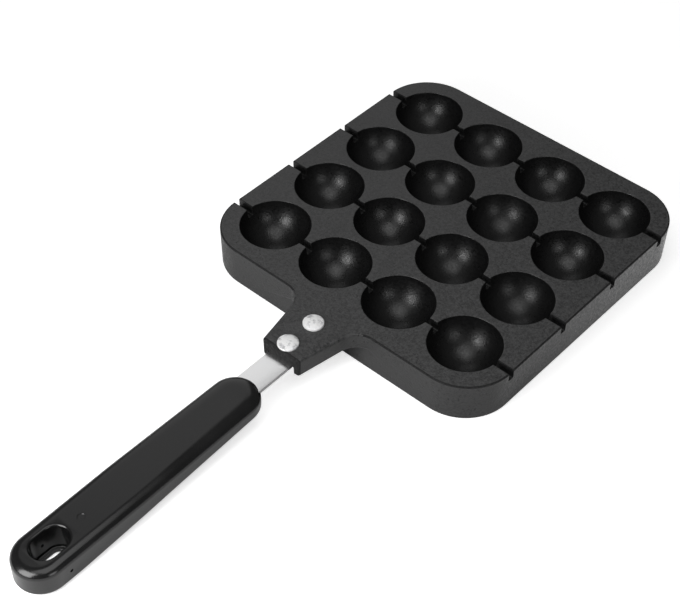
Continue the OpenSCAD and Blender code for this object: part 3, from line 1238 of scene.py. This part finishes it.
@dataclass
class Rivets:
    """The two rivets with low domed heads and upset tails."""

    head_r: float = 5.6
    rim_h: float = 1.1
    head_h: float = 2.1
    rim_soft: float = 0.45
    rim_turn: float = 62.0
    shank_r: float = PAN.shank_r
    tail_r: float = 4.2
    tail_h: float = 1.4
    tail_flat: float = 1.0
    tail_soft: float = 0.6
    seat: float = PAN.plate_height
    strip_low: float = PAN.web_low - PAN.strip_t
    dome_steps: int = 9
    finish: Finish = field(default_factory=RivetMetal)

    def profile(self) -> Profile:
        """Profile of one rivet from the bottom of its tail to the top of its head.

        Returns:
            Radius and height of each point.
        """
        low, foot, turn = self.strip_low, self.strip_low - self.tail_h, self.tail_soft
        tail = [(0, foot), (self.tail_r - self.tail_flat, foot)]
        tail += arc(self.tail_r - turn, foot + turn, turn, -80, 0, 5)
        tail += [(self.tail_r, low), (self.shank_r, low), (self.shank_r, self.seat), (self.head_r, self.seat)]
        dome_h = self.head_h - self.rim_h
        dome_r = (self.head_r ** 2 + dome_h ** 2) / (2 * dome_h)
        centre = self.seat + self.head_h - dome_r
        soft = self.rim_soft
        edge = arc(self.head_r - soft, self.seat + self.rim_h - soft * 0.6, soft, 0, self.rim_turn, 6)
        start = math.degrees(math.asin(edge[-1][0] / dome_r))
        dome = arc(0, centre, dome_r, 90 - start, 90, self.dome_steps)[1:-1]
        return [*tail, (self.head_r, self.seat + 0.1), *edge, *dome, (0, self.seat + self.head_h)]

    def build(self) -> bpy.types.Object:
        """Makes both rivets by repeating one.

        Returns:
            The finished piece.
        """
        one = revolve("rivet", self.profile(), 64)
        pair = make_object("rivets", [(0, 0, 0)], [])
        values = {"Count": ("NodeSocketInt", 2), "Pitch": ("NodeSocketFloat", PAN.rivet_pitch * MM),
                  "First": ("NodeSocketFloat", PAN.rivet_first_y * MM)}
        Repeater("rivet_row", one, self.finish, None, values).apply(pair, row_points)
        settle_shading(pair)
        finish_piece(pair, self.finish, "rivet_metal", ["rear_rivet", "front_rivet"])
        return pair


# ---------------------------------------------------------------- the grip


@dataclass(frozen=True)
class Station:
    """A round station of the grip: its place along Y, half width and thickness."""

    y: float
    half: float
    thickness: float


@dataclass
class Grip:
    """The moulded grip with its hanging slot."""

    front: Station = Station(-165.7, 13.4, 10.2)
    middle: Station = Station(-235.3, 14.3, 12.8)
    rear: Station = Station(-291.3, 14.0, 16.2)
    front_y: float = -152.3
    front_top: float = 19.42
    top_r: float = 4.0
    crown_front_w: float = 7.6
    crown_rear_w: float = 5.2
    bottom_r: float = 3.0
    underside_blend: float = 9.0
    end_steps: int = 22
    side_steps: int = 12
    slot_half: float = 7.1
    slot_reach: float = 3.1
    slot_y: float = -285.3
    slot_rim: float = 1.2
    slot_lean: float = 1.2
    lip_w: float = 1.9
    lip_top: float = 2.5
    lip_soft: float = 0.35
    cross_r: float = 0.9
    cross_z: float = 8.4
    mark_r: float = 2.0
    mark_y: float = -266.1
    mark_depth: float = 0.3
    mark_soft: float = 0.2
    pocket_start: float = -146.3
    finish: Finish = field(default_factory=BlackMoulding)

    def top(self, y: float) -> float:
        """Height of the grip's top at a place along it."""
        return self.front_top + (y - self.front_y) * PAN.slope

    def low(self, y: float) -> float:
        """Height of the grip's underside at a place along it, eased where its slope changes.

        Args:
            y: The place.

        Returns:
            The height.
        """
        knots = [(s.y + s.half - self.bottom_r, self.top(s.y) - s.thickness)
                 for s in (self.rear, self.middle, self.front)]
        slopes = [0.0, *((b[1] - a[1]) / (b[0] - a[0]) for a, b in zip(knots, knots[1:])), 0.0]
        height = knots[0][1]
        blend = self.underside_blend
        for (knot_y, _), before, after in zip(knots, slopes, slopes[1:]):
            offset = y - knot_y
            if offset > blend:
                height += (after - before) * offset
            elif offset > -blend:
                height += (after - before) * (offset + blend) ** 2 / (4 * blend)
        return height

    def plan(self) -> list[Plan]:
        """Outline round the three stations, counterclockwise.

        Returns:
            Points with their outward normals.
        """
        front, middle, rear = self.front, self.middle, self.rear
        widen = math.degrees(math.asin((middle.half - rear.half) / (middle.y - rear.y)))
        narrow = math.degrees(math.asin((middle.half - front.half) / (front.y - middle.y)))
        right = plan_arc(0, rear.y, rear.half, -90, -widen, self.end_steps)
        for near, far, angle in ((rear, middle, -widen), (middle, front, narrow)):
            way = Vector((math.cos(math.radians(angle)), math.sin(math.radians(angle))))
            start, end = (Vector((0, s.y)) + way * s.half for s in (near, far))
            right += [(start.lerp(end, k / self.side_steps), way) for k in range(1, self.side_steps)]
        right += plan_arc(0, front.y, front.half, narrow, 90, self.end_steps)
        return mirrored(right)

    def crowned(self, profile: Profile, y: float) -> Profile:
        """Spreads a profile's top rounding inwards, so that the top falls softly to its sides.

        Args:
            profile: Profile of the wall.
            y: Place of the profile along the grip.

        Returns:
            The new profile.
        """
        shoulder = self.top(y) - self.top_r
        share = min(1.0, max(0.0, (y - self.middle.y) / (self.front.y - self.middle.y)))
        spread = (self.crown_rear_w + (self.crown_front_w - self.crown_rear_w) * share) / self.top_r
        return [(inset * spread if height > shoulder else inset, height) for inset, height in profile]

    def on_top(self, y: float) -> Matrix:
        """Turn and move that set a shape at the origin on the grip's sloping top."""
        place = Matrix.Translation((0, y * MM, self.top(y) * MM))
        return place @ Matrix.Rotation(math.atan(PAN.slope), 4, "X")

    def slot_profile(self) -> Profile:
        """Profile of the slot's cutter, from under the grip to over its top.

        Returns:
            Inset and height of each point.
        """
        top = self.top(self.slot_y)
        ledge = self.lip_top
        opening = self.slot_lean + self.lip_w
        soft = self.lip_soft
        lip = arc(opening - soft, ledge - soft, soft, 0, 90, 4)
        corner = arc(self.slot_lean + soft, ledge + soft, soft, 270, 180, 4)
        rim = arc(-self.slot_rim, top - self.slot_rim, self.slot_rim, 0, 90, 8)
        return [(opening, -3.0), (opening, lip[0][1] - 0.1), *lip, *corner, *rim, (-self.slot_rim, top + 2)]

    def slot(self) -> bpy.types.Object:
        """Makes the cutter of the hanging slot, stepped at its foot and flared at its top.

        Returns:
            The cutter.
        """
        low = plan_arc(0, self.slot_y - self.slot_reach, self.slot_half, -90, 0, 18)
        plan = mirrored(low + plan_arc(0, self.slot_y + self.slot_reach, self.slot_half, 0, 90, 18))
        cutter = wall_solid("slot", plan, [self.slot_profile()] * len(plan))
        to_origin = Matrix.Translation((0, -self.slot_y * MM, -self.top(self.slot_y) * MM))
        cutter.data.transform(self.on_top(self.slot_y) @ to_origin)
        return cutter

    def pocket(self) -> bpy.types.Object:
        """Makes the cutter for the strip's pocket, which leaves the two pins that lock the strip.

        Returns:
            The cutter.
        """
        half, gap = PAN.strip_half + PAN.fit, PAN.fit
        rings = []
        for y in (self.pocket_start, PAN.strip_end_y - gap):
            top = PAN.web_low - (PAN.neck_front_y - y) * PAN.slope
            low = top - PAN.strip_t - gap
            corners = ((half, low), (half, top + gap), (-half, top + gap), (-half, low))
            rings.append([(x, y, z) for x, z in corners])
        pocket = skin("pocket", rings)
        for y in PAN.lock_places:
            drill_down(pocket, PAN.lock_r - PAN.fit, y)
        return pocket

    def build(self) -> bpy.types.Object:
        """Makes the grip.

        Returns:
            The finished piece.
        """
        plan = self.plan()
        profiles = []
        for place, _ in plan:
            wall = wall_profile(self.low(place.y), self.top(place.y), self.bottom_r, self.top_r, steps=16)
            profiles.append(self.crowned(wall, place.y))
        body = wall_solid("grip_body", plan, profiles)
        combine(body, self.pocket(), Cut.REMOVE)
        combine(body, self.slot(), Cut.REMOVE)
        drill = revolve("drill", [(0, -20), (self.cross_r, -20), (self.cross_r, 20), (0, 20)], 32)
        across = Matrix.Rotation(math.radians(90), 4, "Y")
        drill.data.transform(Matrix.Translation((0, self.slot_y * MM, self.cross_z * MM)) @ across)
        combine(body, drill, Cut.REMOVE)
        print_r, soft, deep = self.mark_r, self.mark_soft, -self.mark_depth
        mark_wall = [(print_r - soft, deep), (print_r, deep / 2), (print_r + soft, 1)]
        mark = revolve("mark", [(0, deep), *mark_wall, (0, 1)], 48)
        mark.data.transform(self.on_top(self.mark_y))
        combine(body, mark, Cut.REMOVE)
        body.name = "moulded_grip"
        settle_shading(body)
        finish_piece(body, self.finish, "black_moulding", ["grip"])
        return body


# ---------------------------------------------------------------- the studio


@dataclass(frozen=True)
class Lamp:
    """A soft box: where it hangs, what it looks at, its sides in metres and how bright it looks."""

    name: str
    place: Point
    target: Point
    width: float
    depth: float
    radiance: float

    def build(self) -> bpy.types.Object:
        """Makes the lamp, unseen by the camera itself.

        Returns:
            The lamp.
        """
        data = bpy.data.lights.new(self.name, "AREA")
        data.shape = "RECTANGLE"
        data.size = self.width
        data.size_y = self.depth
        data.energy = self.radiance * math.pi * self.width * self.depth
        obj = bpy.data.objects.new(self.name, data)
        bpy.context.scene.collection.objects.link(obj)
        obj.location = self.place
        aim = Vector(self.target) - Vector(self.place)
        obj.rotation_euler = aim.to_track_quat("-Z", "Y").to_euler()
        obj.visible_camera = False
        return obj


@dataclass
class Studio:
    """Floor, soft light and camera."""

    floor_colour: Colour = (0.93, 0.93, 0.93)
    floor_roughness: float = 0.9
    floor_half: float = 4.0
    floor_z: float = -0.0001
    floor_lift: float = 0.62
    floor_gleam: float = 0.8
    gleam_way: tuple[float, float] = (0.6, 0.8)
    gleam_span: tuple[float, float] = (0.0, 0.13)
    world_strength: float = 0.15
    camera_place: Point = (0.37734, -0.51776, 0.60069)
    camera_right: Point = (0.74570618, 0.66620605, 0.0095804)
    camera_up: Point = (-0.47661089, 0.52332803, 0.70637797)
    camera_back: Point = (0.46557959, -0.53131654, 0.70777)
    lens: float = 82.9913
    sensor: float = 36.0
    lamps: tuple[Lamp, ...] = (
        Lamp("low_front_box", (-0.031, -0.512, 0.20), (0.0, -0.05, 0.0), 0.20, 0.27, 8.2),
        Lamp("overhead_box", (0.15, -0.29, 0.72), (0.15, -0.29, 0.0), 0.58, 0.54, 1.8),
        Lamp("right_box", (0.80, -0.35, 0.26), (0.0, 0.0, 0.02), 0.35, 0.35, 2.8),
        Lamp("back_left_box", (-1.05, 0.76, 0.94), (0.0, -0.05, 0.0), 1.1, 1.5, 0.64),
    )

    def camera(self) -> None:
        """Makes the camera at the photograph's angle."""
        data = bpy.data.cameras.new("camera")
        data.lens = self.lens
        data.sensor_width = self.sensor
        data.sensor_fit = "HORIZONTAL"
        data.clip_start = 0.01
        obj = bpy.data.objects.new("camera", data)
        bpy.context.scene.collection.objects.link(obj)
        turn = Matrix((self.camera_right, self.camera_up, self.camera_back)).transposed().to_4x4()
        obj.matrix_world = Matrix.Translation(self.camera_place) @ turn
        bpy.context.scene.camera = obj

    def floor(self) -> None:
        """Makes the pale floor, which keeps the pan's shadow and gleams in the walls at the rear."""
        mesh = bpy.data.meshes.new("floor")
        half, low = self.floor_half, self.floor_z
        corners = [(-half, -half, low), (half, -half, low), (half, half, low), (-half, half, low)]
        mesh.from_pydata(corners, [], [(0, 1, 2, 3)])
        obj = bpy.data.objects.new("floor", mesh)
        bpy.context.scene.collection.objects.link(obj)
        material = bpy.data.materials.new("pale_floor")
        material.use_nodes = True
        tree = Tree(material.node_tree)
        shader = material.node_tree.nodes["Principled BSDF"]
        values = {"Base Color": (*self.floor_colour, 1), "Roughness": self.floor_roughness,
                  "Specular IOR Level": 0.0, "Emission Color": (1, 1, 1, 1)}
        for key, value in values.items():
            tree.feed(shader.inputs[key], value)
        path = tree.add("ShaderNodeLightPath").outputs
        # Painted reflection: for glossy rays only, the floor glows in a band towards the right rear, so the
        # pan's walls mirror extra light.
        place = tree.add("ShaderNodeSeparateXYZ")
        tree.join(tree.add("ShaderNodeTexCoord").outputs["Object"], place.inputs[0])
        parts = [tree.math("MULTIPLY", place.outputs[i], self.gleam_way[i]) for i in range(2)]
        along = tree.math("ADD", *parts)
        gleam = tree.remap(along, *self.gleam_span, 0.0, self.floor_gleam)
        lift = tree.math("ADD", tree.math("MULTIPLY", path["Is Camera Ray"], self.floor_lift),
                         tree.math("MULTIPLY", path["Is Glossy Ray"], gleam))
        tree.join(lift, shader.inputs["Emission Strength"])
        under = tree.add("ShaderNodeNewGeometry").outputs["Backfacing"]
        tree.join(tree.math("SUBTRACT", 1.0, under), shader.inputs["Alpha"])
        mesh.materials.append(material)

    def world(self) -> None:
        """Makes the even surrounding light, seen white by the camera."""
        world = bpy.data.worlds.new("studio")
        bpy.context.scene.world = world
        world.use_nodes = True
        tree = Tree(world.node_tree)
        background = world.node_tree.nodes["Background"]
        background.inputs["Color"].default_value = (1, 1, 1, 1)
        path = tree.add("ShaderNodeLightPath")
        strength = tree.remap(path.outputs["Is Camera Ray"], 0.0, 1.0, self.world_strength, 1.0)
        tree.join(strength, background.inputs["Strength"])

    def build(self) -> None:
        """Makes everything that isn't part of the pan."""
        bpy.context.scene.view_settings.view_transform = "Standard"
        self.camera()
        self.floor()
        self.world()
        for lamp in self.lamps:
            lamp.build()


def main() -> None:
    """Builds the pan and its studio."""
    logging.basicConfig(level=logging.INFO, format="%(name)s: %(message)s")
    Studio().build()
    Casting().build()
    HandleStrip().build()
    Rivets().build()
    Grip().build()
    bpy.context.view_layer.update()


if __name__ == "__main__":
    main()
